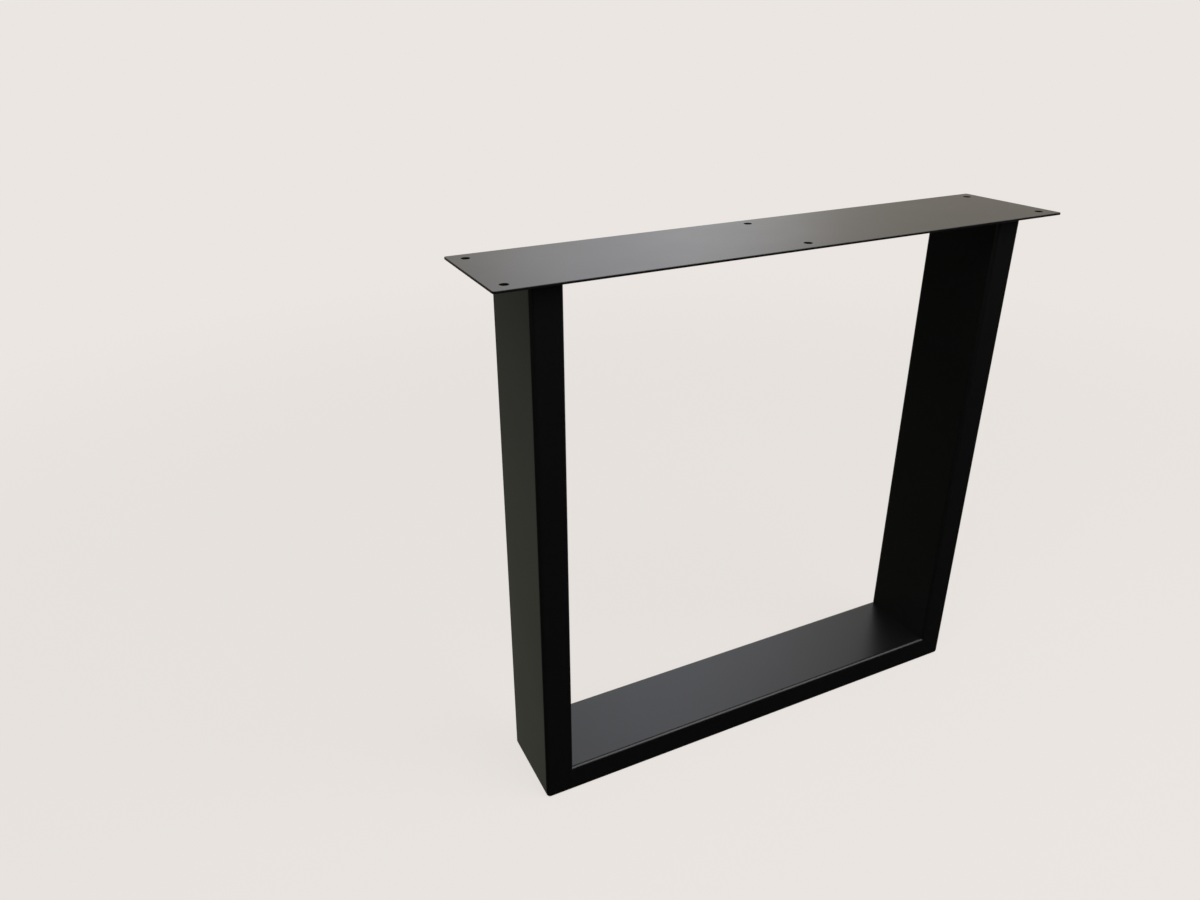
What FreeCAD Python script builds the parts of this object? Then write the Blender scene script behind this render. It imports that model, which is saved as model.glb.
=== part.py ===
import FreeCAD, Part
import os

# A U shaped table leg: two uprights and a floor rail of rectangular hollow section,
# mitred and welded at the lower corners, under a flat screw plate.
# X runs along the plate, Y through the depth of the frame and Z up. The origin lies on the
# floor, at the middle of the rail.

# Driving dimensions, in millimetres
LEG_HEIGHT = 740.0
FRAME_WIDTH = 720.0
TUBE_DEPTH = 120.0
TUBE_FACE = 40.0
TUBE_WALL = 2.0
TUBE_CORNER_RADIUS = 5.0
OUTER_CORNER_RADIUS = 6.0
PLATE_END_OVERHANG = 49.0
PLATE_SIDE_OVERHANG = 22.0
PLATE_THICKNESS = 3.0
PLATE_CORNER_RADIUS = 3.0
PLATE_EDGE_ROUND = 0.6
SCREW_HOLE_DIAMETER = 11.0
SCREW_HOLE_END_INSET = 20.0
SCREW_HOLE_SIDE_INSET = 20.0
CORNER_WELD_WIDTH = 9.0
PLATE_WELD_LEG = 4.0
PLATE_WELD_TOE = 0.5

# Sizes that follow from them
TUBE_TOP = LEG_HEIGHT - PLATE_THICKNESS
UPRIGHT_CENTRE = (FRAME_WIDTH - TUBE_FACE) / 2
SQUARE_CORNER = 90.0
MITRE_ANGLE = SQUARE_CORNER / 2
PLATE_LENGTH = FRAME_WIDTH + 2 * PLATE_END_OVERHANG
PLATE_WIDTH = TUBE_DEPTH + 2 * PLATE_SIDE_OVERHANG
SCREW_ROW_X = PLATE_LENGTH / 2 - SCREW_HOLE_END_INSET
SCREW_ROW_Y = PLATE_WIDTH / 2 - SCREW_HOLE_SIDE_INSET

# How close two places have to be to count as the same
SAME_PLACE = 0.01

UP = FreeCAD.Vector(0, 0, 1)
DEPTHWISE = FreeCAD.Vector(0, 1, 0)
SIDES = {"left": -1, "right": 1}


def block(low, high):
    """A box between two corners."""
    size = [b - a for a, b in zip(low, high)]
    return Part.makeBox(*size, FreeCAD.Vector(*low))


def centred_block(length, width, bottom, top):
    """A box centred on the Z axis, between two heights."""
    return block((-length / 2, -width / 2, bottom), (length / 2, width / 2, top))


def upright_edges(shape):
    """The edges of a block that run along Z."""
    return [e for e in shape.Edges if abs(e.BoundBox.ZLength) > SAME_PLACE]


def rounded_block(length, width, bottom, top, radius):
    """A centred box whose four upright edges are rounded."""
    body = centred_block(length, width, bottom, top)
    return body.makeFillet(radius, upright_edges(body))


def rounded(shape, radius, is_rounded):
    """A shape with the edges that are to be rounded filleted, where there is a radius left for them."""
    if radius <= SAME_PLACE:
        return shape
    return shape.makeFillet(radius, [e for e in shape.Edges if is_rounded(e.BoundBox)])


def u_solid(inset):
    """The frame's U as one solid, its faces set in from the tube's outer faces.

    Its two outer lower corners are rounded as they are dressed, and then the edges of its front
    and back as the tube's own edges are. The ends under the plate stay square."""
    half_width = FRAME_WIDTH / 2 - inset
    half_depth = TUBE_DEPTH / 2 - inset
    half_window = FRAME_WIDTH / 2 - TUBE_FACE + inset
    window_floor = TUBE_FACE - inset
    body = block((-half_width, -half_depth, inset), (half_width, half_depth, TUBE_TOP))
    window = block(
        (-half_window, -half_depth, window_floor),
        (half_window, half_depth, TUBE_TOP),
    )
    body = body.cut(window)

    def at_outer_corner(box):
        return box.ZMax < inset + SAME_PLACE and box.YLength > SAME_PLACE

    def on_front_or_back(box):
        return box.YLength < SAME_PLACE and box.ZMin < TUBE_TOP - SAME_PLACE

    body = rounded(body, OUTER_CORNER_RADIUS - inset, at_outer_corner)
    return rounded(body, TUBE_CORNER_RADIUS - inset, on_front_or_back)


def mitre_slab(side):
    """The space between the two saw cuts of one mitre, which the weld fills."""
    reach = TUBE_FACE
    half = CORNER_WELD_WIDTH / 2
    slab = block((-reach, -TUBE_DEPTH, -half), (reach, TUBE_DEPTH, half))
    slab.rotate(FreeCAD.Vector(), DEPTHWISE, side * MITRE_ANGLE)
    slab.translate(FreeCAD.Vector(side * UPRIGHT_CENTRE, 0, TUBE_FACE / 2))
    return slab


def hollow_frame():
    """The whole U with its hollow, before it is parted at the mitres."""
    skin = u_solid(0)
    hollow = u_solid(TUBE_WALL)
    return skin.cut(hollow)


def tubes_and_corner_welds():
    """The uprights, the rail and the two corner welds, parted at the saw cuts."""
    frame = hollow_frame()
    slabs = {side: mitre_slab(sign) for side, sign in SIDES.items()}
    pieces = {f"{side}_corner_weld": frame.common(slab) for side, slab in slabs.items()}
    tubes = frame.cut(list(slabs.values())).Solids
    tubes.sort(key=lambda tube: tube.CenterOfMass.x)
    pieces.update(zip(("left_upright", "floor_rail", "right_upright"), tubes))
    return pieces


def top_plate():
    """The flat plate, with rounded corners and edges and two rows of screw holes."""
    plate = rounded_block(PLATE_LENGTH, PLATE_WIDTH, TUBE_TOP, LEG_HEIGHT, PLATE_CORNER_RADIUS)
    rim = [e for e in plate.Edges if e.BoundBox.ZLength < SAME_PLACE]
    plate = plate.makeFillet(PLATE_EDGE_ROUND, rim)
    for x in (-SCREW_ROW_X, 0, SCREW_ROW_X):
        for y in (-SCREW_ROW_Y, SCREW_ROW_Y):
            foot = FreeCAD.Vector(x, y, TUBE_TOP)
            plate = plate.cut(Part.makeCylinder(SCREW_HOLE_DIAMETER / 2, PLATE_THICKNESS, foot, UP))
    return plate


def plate_weld(sign):
    """The fillet bead round the top of one upright, with its sloping face."""
    foot = TUBE_TOP - PLATE_WELD_LEG
    bead = rounded_block(
        TUBE_FACE + 2 * PLATE_WELD_LEG,
        TUBE_DEPTH + 2 * PLATE_WELD_LEG,
        foot,
        TUBE_TOP,
        TUBE_CORNER_RADIUS + PLATE_WELD_LEG,
    )
    lower_rim = [e for e in bead.Edges if e.BoundBox.ZMax < foot + SAME_PLACE]
    bead = bead.makeChamfer(PLATE_WELD_LEG - PLATE_WELD_TOE, lower_rim)
    bead = bead.cut(rounded_block(TUBE_FACE, TUBE_DEPTH, foot, TUBE_TOP, TUBE_CORNER_RADIUS))
    bead.translate(FreeCAD.Vector(sign * UPRIGHT_CENTRE, 0, 0))
    return bead


def all_pieces():
    """Every piece of the leg by name."""
    pieces = tubes_and_corner_welds()
    pieces["top_plate"] = top_plate()
    for side, sign in SIDES.items():
        pieces[f"{side}_plate_weld"] = plate_weld(sign)
    return pieces


os.makedirs("parts", exist_ok=True)
for name, piece in all_pieces().items():
    piece.exportStep(f"parts/{name}.step")
    print(name, piece.isValid(), len(piece.Solids), round(piece.Volume, 1))
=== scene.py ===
import math
from collections import namedtuple

import bmesh
import bpy
from mathutils import Matrix, Vector


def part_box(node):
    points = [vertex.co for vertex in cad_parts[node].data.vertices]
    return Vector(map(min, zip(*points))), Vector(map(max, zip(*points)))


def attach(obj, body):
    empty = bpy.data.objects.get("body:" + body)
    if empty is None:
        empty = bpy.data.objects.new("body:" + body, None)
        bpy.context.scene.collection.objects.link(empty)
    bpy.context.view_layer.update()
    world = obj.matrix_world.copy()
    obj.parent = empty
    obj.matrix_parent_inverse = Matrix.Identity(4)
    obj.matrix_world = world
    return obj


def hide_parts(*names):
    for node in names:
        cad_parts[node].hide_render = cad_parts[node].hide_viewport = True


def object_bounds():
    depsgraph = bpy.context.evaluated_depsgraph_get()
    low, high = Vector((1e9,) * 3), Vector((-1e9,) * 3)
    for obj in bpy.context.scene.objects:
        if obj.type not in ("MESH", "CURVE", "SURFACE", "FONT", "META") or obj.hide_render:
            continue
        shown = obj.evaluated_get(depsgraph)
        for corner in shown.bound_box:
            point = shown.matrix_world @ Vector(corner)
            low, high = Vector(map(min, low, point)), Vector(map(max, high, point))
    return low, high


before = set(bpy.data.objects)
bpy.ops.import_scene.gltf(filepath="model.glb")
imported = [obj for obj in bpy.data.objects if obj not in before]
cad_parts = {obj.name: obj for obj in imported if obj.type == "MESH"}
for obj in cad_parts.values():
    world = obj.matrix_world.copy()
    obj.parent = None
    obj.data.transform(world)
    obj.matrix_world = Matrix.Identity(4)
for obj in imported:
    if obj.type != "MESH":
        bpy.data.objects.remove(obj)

# A U shaped table leg of rectangular steel tube, with a screw plate across its top, in satin black
# powder coat. Lengths are in metres. X runs along the plate, Y away from the front and Z up.

CAD_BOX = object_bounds()

# The camera, fitted to the leg's edges and screw holes in the photo
PHOTO_WIDTH = 1200
PHOTO_HEIGHT = 900
FOCAL_PIXELS = 889.3
OPTICAL_CENTRE = (574.0, 425.0)
CAMERA_PLACE = (-0.6977, -0.9051, 0.9901)
CAMERA_TURN = math.radians(24.58)
CAMERA_DIP = math.radians(24.66)
CAMERA_ROLL = math.radians(0.89)
SENSOR_WIDTH = 36.0

# The plain floor and backdrop. The floor lies just under the rail, so that the two don't coincide.
BACKDROP = (0.83, 0.79, 0.76, 1.0)
FLOOR_RADIUS = 9.0
FLOOR_SIDES = 96
FLOOR_CLEARANCE = 0.0005
SHADED_RADIUS = 0.9
SHADELESS_RADIUS = 2.8
FLOOR_GLOW_NEAR_LEG = 0.87

# Soft bright patches that the coat mirrors. Bearings turn from +Y towards +X, heights are above the
# horizon, and each patch is whole within one angle and gone beyond another, all in degrees.
# A patch over 1 tall reaches further up and down than sideways, and one under 1 less far.
SoftPatch = namedtuple("SoftPatch", "bearing height whole gone glow tall", defaults=(1.0,))
BACK_WALL = SoftPatch(bearing=24.0, height=25.0, whole=18.0, gone=52.0, glow=(0.605, 0.55, 0.468, 1.0))
BACK_WINDOW = SoftPatch(
    bearing=29.0, height=44.5, whole=3.0, gone=20.0, glow=(1.15, 1.255, 1.50, 1.0), tall=2.8
)
LOW_WINDOW = SoftPatch(bearing=35.0, height=12.0, whole=2.0, gone=7.5, glow=(0.35, 0.35, 0.35, 1.0))
LEFT_FLOOR = SoftPatch(bearing=-6.0, height=-33.0, whole=8.0, gone=34.0, glow=(0.196, 0.198, 0.16, 1.0))
LEFT_WALL = SoftPatch(bearing=-64.0, height=36.0, whole=14.0, gone=38.0, glow=(0.55, 0.54, 0.52, 1.0))
RIGHT_WALL = SoftPatch(bearing=66.0, height=-22.0, whole=8.0, gone=36.0, glow=(0.28, 0.275, 0.265, 1.0))
LEFT_HORIZON = SoftPatch(
    bearing=-97.0, height=4.0, whole=14.0, gone=43.0, glow=(0.55, 0.54, 0.52, 1.0), tall=0.3
)
RIGHT_HORIZON = SoftPatch(
    bearing=90.0, height=4.0, whole=14.0, gone=43.0, glow=(0.55, 0.54, 0.52, 1.0), tall=0.3
)

# What the coat mirrors between the patches, and the even light on everything
DIM_ROOM = (0.01, 0.01, 0.01, 1.0)
ALL_ROUND_LIGHT = (0.25, 0.25, 0.25, 1.0)

# The black coat. Clouds, peel, grain and tool lines are counted per metre, and depths are shares of
# the relief.
COAT_BLACK = (0.0018, 0.0018, 0.0019, 1.0)
COAT_GREY = (0.0036, 0.0035, 0.0034, 1.0)
COAT_ROUGHNESS = 0.30
COAT_REFRACTION = 1.5
COAT_RELIEF = 0.0001
CLOUDS = 9.0
CLOUD_DETAIL = 3.0
CLOUDINESS = 0.06
PEEL = 420.0
PEEL_DEPTH = 0.45
GRAIN = 1700.0
GRAIN_DEPTH = 0.16
GRAIN_IN_GLOSS = 0.6
MEAN_UNEVENNESS = 0.8
FINE_DETAIL = 2.0

# Lines that a tool left in the steel. They are drawn out along one direction.
CUT_LINES = 1300.0
CUT_DEPTH = 0.5
SANDING_LINES = 700.0
SANDING_DEPTH = 0.18
LINE_STRETCH = 0.02
MITRE_TURN = math.radians(45.0)

# The fillet bead that joins each upright to the plate
TUBE_CORNER_RADIUS = 0.005
BEAD_ROUGHNESS = 0.38
BEAD_PEEL_DEPTH = 0.8
BEAD_GRAIN_DEPTH = 0.2
BEAD_CROWN = 0.00045
BEAD_RIPPLE = 0.00035
BEAD_RIPPLE_PITCH = 0.0026
BEAD_CRESCENT = 2.4
BEAD_STATIONS = 8
BEAD_FACE_POINTS = 11
BEAD_ROOT = 0.0002
# How far a swell square to the sloping face goes out, and just as far down
BEAD_FACE_LEAN = math.sqrt(0.5)
# Slow swells of the bead's leg: how many to a round, their share of the leg, where they start
BEAD_SWELLS = ((3, 0.05, 0.7), (8, 0.03, 2.1), (19, 0.02, 4.0))
# The share by which the bead's leg is drawn in, to leave room for the swells
BEAD_DRAWN_IN = 0.05


def feed(tree, socket, value):
    """Gives an input a constant, or links another node's output to it."""
    if isinstance(value, bpy.types.NodeSocket):
        tree.links.new(value, socket)
    else:
        socket.default_value = value


def place(tree, kind, settings=None, **inputs):
    """A new node. An input's name has its spaces written as underscores."""
    made = tree.nodes.new(kind)
    for name, value in (settings or {}).items():
        setattr(made, name, value)
    for name, value in inputs.items():
        feed(tree, made.inputs[name.replace("_", " ")], value)
    return made


def calculate(tree, operation, *values):
    """The result of a Math node."""
    made = place(tree, "ShaderNodeMath", {"operation": operation})
    for socket, value in zip(made.inputs, values):
        feed(tree, socket, value)
    return made.outputs["Value"]


def vector_step(tree, operation, *vectors):
    """A Vector Math node on one or two vectors."""
    made = place(tree, "ShaderNodeVectorMath", {"operation": operation})
    for socket, value in zip(made.inputs, vectors):
        feed(tree, socket, value)
    return made


def mix_colours(tree, share, first, second, mode="MIX"):
    """Two colours mixed by a share from 0, the first alone, to 1."""
    made = place(tree, "ShaderNodeMix", {"data_type": "RGBA", "blend_type": mode})
    colours = [socket for socket in made.inputs if socket.type == "RGBA"]
    feed(tree, made.inputs["Factor"], share)
    feed(tree, colours[0], first)
    feed(tree, colours[1], second)
    return next(socket for socket in made.outputs if socket.type == "RGBA")


def soft_step(tree, value, start, end, low=0.0, high=1.0):
    """A smooth rise from low at start to high at end."""
    made = place(
        tree,
        "ShaderNodeMapRange",
        {"interpolation_type": "SMOOTHSTEP"},
        Value=value,
        From_Min=start,
        From_Max=end,
        To_Min=low,
        To_Max=high,
    )
    return made.outputs["Result"]


def empty_tree(owner):
    """The node tree of a material or the world, with nothing in it."""
    owner.use_nodes = True
    owner.node_tree.nodes.clear()
    return owner.node_tree


def new_group(name, inputs, outputs):
    """An empty shader node group with named sockets, and its two ends."""
    group = bpy.data.node_groups.new(name, "ShaderNodeTree")
    for socket_name, kind, value in inputs:
        socket = group.interface.new_socket(socket_name, in_out="INPUT", socket_type=kind)
        socket.default_value = value
    for socket_name, kind in outputs:
        group.interface.new_socket(socket_name, in_out="OUTPUT", socket_type=kind)
    given = group.nodes.new("NodeGroupInput").outputs
    result = group.nodes.new("NodeGroupOutput").inputs
    return group, given, result


def noise(tree, where, scale, detail=FINE_DETAIL):
    """Noise from 0 to 1."""
    made = place(tree, "ShaderNodeTexNoise", Vector=where, Scale=scale, Detail=detail)
    return made.outputs["Fac"]


def powder_surface():
    """The powder coat's shared finish: cloudy gloss, orange peel and fine grain."""
    group, given, result = new_group(
        "powder_surface",
        (
            ("Roughness", "NodeSocketFloat", COAT_ROUGHNESS),
            ("Cloudiness", "NodeSocketFloat", CLOUDINESS),
            ("Peel", "NodeSocketFloat", PEEL_DEPTH),
            ("Grain", "NodeSocketFloat", GRAIN_DEPTH),
        ),
        (
            ("Colour", "NodeSocketColor"),
            ("Roughness", "NodeSocketFloat"),
            ("Height", "NodeSocketFloat"),
        ),
    )
    where = group.nodes.new("ShaderNodeTexCoord").outputs["Object"]
    clouds = noise(group, where, CLOUDS, CLOUD_DETAIL)
    peel = noise(group, where, PEEL)
    grain = noise(group, where, GRAIN)
    unevenness = calculate(group, "MULTIPLY_ADD", grain, GRAIN_IN_GLOSS, clouds)
    unevenness = calculate(group, "SUBTRACT", unevenness, MEAN_UNEVENNESS)
    swing = calculate(group, "MULTIPLY", unevenness, given["Cloudiness"])
    feed(group, result["Roughness"], calculate(group, "ADD", given["Roughness"], swing))
    feed(group, result["Colour"], mix_colours(group, grain, COAT_BLACK, COAT_GREY))
    height = calculate(group, "MULTIPLY", peel, given["Peel"])
    feed(group, result["Height"], calculate(group, "MULTIPLY_ADD", grain, given["Grain"], height))
    return group


def tool_lines():
    """Fine lines left by a tool, drawn out along one direction."""
    group, given, result = new_group(
        "tool_lines",
        (
            ("Turn", "NodeSocketVector", (0.0, 0.0, 0.0)),
            ("Lines", "NodeSocketFloat", SANDING_LINES),
            ("Depth", "NodeSocketFloat", SANDING_DEPTH),
        ),
        (("Height", "NodeSocketFloat"),),
    )
    where = group.nodes.new("ShaderNodeTexCoord").outputs["Object"]
    drawn_out = place(
        group,
        "ShaderNodeMapping",
        Vector=where,
        Rotation=given["Turn"],
        Scale=(1.0, 1.0, LINE_STRETCH),
    )
    lines = noise(group, drawn_out.outputs["Vector"], given["Lines"])
    feed(group, result["Height"], calculate(group, "MULTIPLY", lines, given["Depth"]))
    return group


def relief(tree, height, normal=None):
    """The direction that a surface faces once a height has been raised on it."""
    bump = place(tree, "ShaderNodeBump", Distance=COAT_RELIEF, Height=height)
    if normal:
        feed(tree, bump.inputs["Normal"], normal)
    return bump.outputs["Normal"]


def coated_steel(name, surface, marks=None, **looks):
    """Steel under the black coat. marks raises the lines of a tool that show through it."""
    material = bpy.data.materials.new(name)
    tree = empty_tree(material)
    finish = place(tree, "ShaderNodeGroup", {"node_tree": surface}, **looks)
    marked = relief(tree, marks(tree)) if marks else None
    shader = place(
        tree,
        "ShaderNodeBsdfPrincipled",
        Base_Color=finish.outputs["Colour"],
        Roughness=finish.outputs["Roughness"],
        IOR=COAT_REFRACTION,
        Normal=relief(tree, finish.outputs["Height"], marked),
    )
    place(tree, "ShaderNodeOutputMaterial", Surface=shader.outputs["BSDF"])
    return material


def cut_edge_marks(lines):
    """The marks of the cut on the plate's edges and hole walls, and none on its flat faces."""

    def marks(tree):
        facing = tree.nodes.new("ShaderNodeNewGeometry").outputs["Normal"]
        upward = place(tree, "ShaderNodeSeparateXYZ", Vector=facing).outputs["Z"]
        flatness = calculate(tree, "ABSOLUTE", upward)
        depth = soft_step(tree, flatness, 0.0, 1.0, CUT_DEPTH, 0.0)
        drawn = place(tree, "ShaderNodeGroup", {"node_tree": lines}, Lines=CUT_LINES, Depth=depth)
        return drawn.outputs["Height"]

    return marks


def sanding_marks(lines, side):
    """Faint marks of the sanding disc, across the dressed seam of one mitre."""

    def marks(tree):
        turn = (0.0, side * MITRE_TURN, 0.0)
        drawn = place(tree, "ShaderNodeGroup", {"node_tree": lines}, Turn=turn)
        return drawn.outputs["Height"]

    return marks


def dress(node_name, material):
    """Gives a carried-over piece its finish."""
    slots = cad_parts[node_name].data.materials
    slots.clear()
    slots.append(material)


def rounded_outline(half_x, half_y, radius, spacing):
    """Places round a rectangle with rounded corners: distance walked, point and outward direction."""
    places = []
    walked = 0.0
    for quarter in range(4):
        start = quarter * math.pi / 2
        end = start + math.pi / 2
        side_x = 1 if quarter in (0, 3) else -1
        side_y = 1 if quarter in (0, 1) else -1
        centre = Vector((side_x * (half_x - radius), side_y * (half_y - radius)))
        steps = math.ceil(radius * math.pi / 2 / spacing)
        for step in range(steps):
            angle = start + (end - start) * step / steps
            outward = Vector((math.cos(angle), math.sin(angle)))
            places.append((walked + radius * (angle - start), centre + radius * outward, outward))
        walked += radius * math.pi / 2
        outward = Vector((math.cos(end), math.sin(end)))
        onward = Vector((-outward.y, outward.x))
        run = 2 * ((half_x if quarter % 2 == 0 else half_y) - radius)
        steps = math.ceil(run / spacing)
        for step in range(steps):
            along = run * step / steps
            places.append((walked + along, centre + radius * outward + along * onward, outward))
        walked += run
    return places, walked


def bead_section(leg, phase):
    """One cut through the bead: how far out from the tube and down from the plate each point lies."""
    points = [(-BEAD_ROOT, -BEAD_ROOT)]
    for step in range(BEAD_FACE_POINTS):
        share = step / (BEAD_FACE_POINTS - 1)
        belly = math.sin(math.pi * share)
        crescent = BEAD_CRESCENT * (2 * share - 1) ** 2
        ripple = BEAD_RIPPLE * abs(math.cos((phase + crescent) / 2))
        swell = (BEAD_CROWN + ripple) * belly * BEAD_FACE_LEAN
        points.append((leg * share + swell, leg * (1 - share) + swell))
    return points


def weld_bead(side, material):
    """The rippled fillet bead round the top of one upright."""
    tube_low, tube_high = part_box(f"{side}_upright")
    weld_low, weld_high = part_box(f"{side}_plate_weld")
    middle = (Vector(tube_low) + Vector(tube_high)) / 2
    half = (Vector(tube_high) - Vector(tube_low)) / 2
    leg = weld_high[2] - weld_low[2]
    spacing = BEAD_RIPPLE_PITCH / BEAD_STATIONS
    places, round_length = rounded_outline(half.x, half.y, TUBE_CORNER_RADIUS, spacing)
    ripples = round(round_length / BEAD_RIPPLE_PITCH)
    shape = bmesh.new()
    rings = []
    for walked, point, outward in places:
        turn = 2 * math.pi * walked / round_length
        uneven = sum(share * math.sin(count * turn + start) for count, share, start in BEAD_SWELLS)
        section = bead_section(leg * (1 - BEAD_DRAWN_IN + uneven), ripples * turn)
        ring = []
        for out, down in section:
            x = middle.x + point.x + out * outward.x
            y = middle.y + point.y + out * outward.y
            ring.append(shape.verts.new((x, y, weld_high[2] - down)))
        rings.append(ring)
    for ring, following in zip(rings, rings[1:] + rings[:1]):
        for corner in range(len(ring)):
            before = corner - 1
            shape.faces.new((ring[before], ring[corner], following[corner], following[before]))
    bmesh.ops.recalc_face_normals(shape, faces=shape.faces)
    for face in shape.faces:
        face.smooth = True
    mesh = bpy.data.meshes.new(f"{side}_weld_bead")
    shape.to_mesh(mesh)
    shape.free()
    mesh.materials.append(material)
    bead = bpy.data.objects.new(f"{side}_weld_bead", mesh)
    bpy.context.collection.objects.link(bead)
    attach(bead, "root")
    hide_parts(f"{side}_plate_weld")


def pale_floor():
    """The plain floor: pale to the camera, with the leg's soft shadow near it."""
    mesh = bpy.data.meshes.new("floor")
    shape = bmesh.new()
    bmesh.ops.create_circle(shape, cap_ends=True, segments=FLOOR_SIDES, radius=FLOOR_RADIUS)
    shape.to_mesh(mesh)
    shape.free()
    floor = bpy.data.objects.new("floor", mesh)
    floor.location.z = -FLOOR_CLEARANCE
    floor.visible_glossy = False
    bpy.context.collection.objects.link(floor)
    material = bpy.data.materials.new("pale_floor")
    tree = empty_tree(material)
    rays = tree.nodes.new("ShaderNodeLightPath").outputs
    where = tree.nodes.new("ShaderNodeTexCoord").outputs["Object"]
    reach = vector_step(tree, "LENGTH", where).outputs["Value"]
    glow_share = soft_step(tree, reach, SHADED_RADIUS, SHADELESS_RADIUS, FLOOR_GLOW_NEAR_LEG, 1.0)
    seen = calculate(tree, "MAXIMUM", rays["Is Camera Ray"], rays["Is Transmission Ray"])
    lit = place(tree, "ShaderNodeBsdfDiffuse", Color=BACKDROP)
    glow = place(tree, "ShaderNodeEmission", Color=BACKDROP)
    both = tree.nodes.new("ShaderNodeMixShader")
    feed(tree, both.inputs[0], calculate(tree, "MULTIPLY", seen, glow_share))
    feed(tree, both.inputs[1], lit.outputs["BSDF"])
    feed(tree, both.inputs[2], glow.outputs["Emission"])
    place(tree, "ShaderNodeOutputMaterial", Surface=both.outputs["Shader"])
    mesh.materials.append(material)


def direction(bearing, height):
    """A unit vector towards a bearing and a height in degrees."""
    turn = math.radians(bearing)
    rise = math.radians(height)
    return Vector((math.cos(rise) * math.sin(turn), math.cos(rise) * math.cos(turn), math.sin(rise)))


def studio_world():
    """The surroundings: the pale backdrop, dim all round light and the patches that the coat mirrors."""
    world = bpy.data.worlds.new("studio")
    bpy.context.scene.world = world
    tree = empty_tree(world)
    rays = tree.nodes.new("ShaderNodeLightPath").outputs
    where = tree.nodes.new("ShaderNodeTexCoord").outputs["Generated"]
    mirrored = DIM_ROOM
    patches = (
        BACK_WALL,
        BACK_WINDOW,
        LOW_WINDOW,
        LEFT_FLOOR,
        LEFT_WALL,
        RIGHT_WALL,
        LEFT_HORIZON,
        RIGHT_HORIZON,
    )
    for patch in patches:
        flatten = Vector((1.0, 1.0, 1.0 / patch.tall))
        middle = direction(patch.bearing, patch.height) * flatten
        flattened = vector_step(tree, "MULTIPLY", where, flatten).outputs["Vector"]
        toward = vector_step(tree, "NORMALIZE", flattened).outputs["Vector"]
        nearness = vector_step(tree, "DOT_PRODUCT", toward, middle.normalized()).outputs["Value"]
        edge = math.cos(math.radians(patch.gone))
        core = math.cos(math.radians(patch.whole))
        amount = soft_step(tree, nearness, edge, core)
        mirrored = mix_colours(tree, amount, mirrored, patch.glow, "ADD")
    colour = mix_colours(tree, rays["Is Glossy Ray"], ALL_ROUND_LIGHT, mirrored)
    seen = calculate(tree, "MAXIMUM", rays["Is Camera Ray"], rays["Is Transmission Ray"])
    colour = mix_colours(tree, seen, colour, BACKDROP)
    glow = place(tree, "ShaderNodeBackground", Color=colour)
    place(tree, "ShaderNodeOutputWorld", Surface=glow.outputs["Background"])


def softbox(name, bearing, height, distance, size, power):
    """A square soft light that faces the middle of the leg."""
    middle = (Vector(CAD_BOX[0]) + Vector(CAD_BOX[1])) / 2
    toward = direction(bearing, height)
    data = bpy.data.lights.new(name, "AREA")
    data.shape = "SQUARE"
    data.size = size
    data.energy = power
    light = bpy.data.objects.new(name, data)
    light.location = middle + distance * toward
    light.rotation_euler = toward.to_track_quat("Z", "Y").to_euler()
    bpy.context.collection.objects.link(light)


def photo_camera():
    """The camera at the photo's viewpoint."""
    data = bpy.data.cameras.new("camera")
    data.sensor_width = SENSOR_WIDTH
    data.lens = FOCAL_PIXELS / PHOTO_WIDTH * SENSOR_WIDTH
    data.shift_x = (PHOTO_WIDTH / 2 - OPTICAL_CENTRE[0]) / PHOTO_WIDTH
    data.shift_y = (OPTICAL_CENTRE[1] - PHOTO_HEIGHT / 2) / PHOTO_WIDTH
    camera = bpy.data.objects.new("camera", data)
    turn = Matrix.Rotation(-CAMERA_TURN, 4, "Z")
    dip = Matrix.Rotation(math.pi / 2 - CAMERA_DIP, 4, "X")
    roll = Matrix.Rotation(-CAMERA_ROLL, 4, "Z")
    camera.matrix_world = Matrix.Translation(CAMERA_PLACE) @ turn @ dip @ roll
    bpy.context.collection.objects.link(camera)
    bpy.context.scene.camera = camera


surface = powder_surface()
lines = tool_lines()

tube_coat = coated_steel("satin_black_tube_coat", surface)
for tube in ("left_upright", "right_upright", "floor_rail"):
    dress(tube, tube_coat)
dress("top_plate", coated_steel("satin_black_plate_coat", surface, cut_edge_marks(lines)))
bead_coat = coated_steel(
    "coat_over_weld_bead",
    surface,
    Roughness=BEAD_ROUGHNESS,
    Peel=BEAD_PEEL_DEPTH,
    Grain=BEAD_GRAIN_DEPTH,
)
for side_name, side in (("left", -1), ("right", 1)):
    seam_coat = coated_steel(f"coat_over_{side_name}_seam", surface, sanding_marks(lines, side))
    dress(f"{side_name}_corner_weld", seam_coat)
    weld_bead(side_name, bead_coat)

pale_floor()
studio_world()
softbox("right_softbox", bearing=145.0, height=46.0, distance=2.8, size=2.6, power=60.0)
softbox("left_softbox", bearing=-130.0, height=55.0, distance=3.0, size=1.8, power=32.0)
photo_camera()
bpy.context.scene.view_settings.view_transform = "Standard"
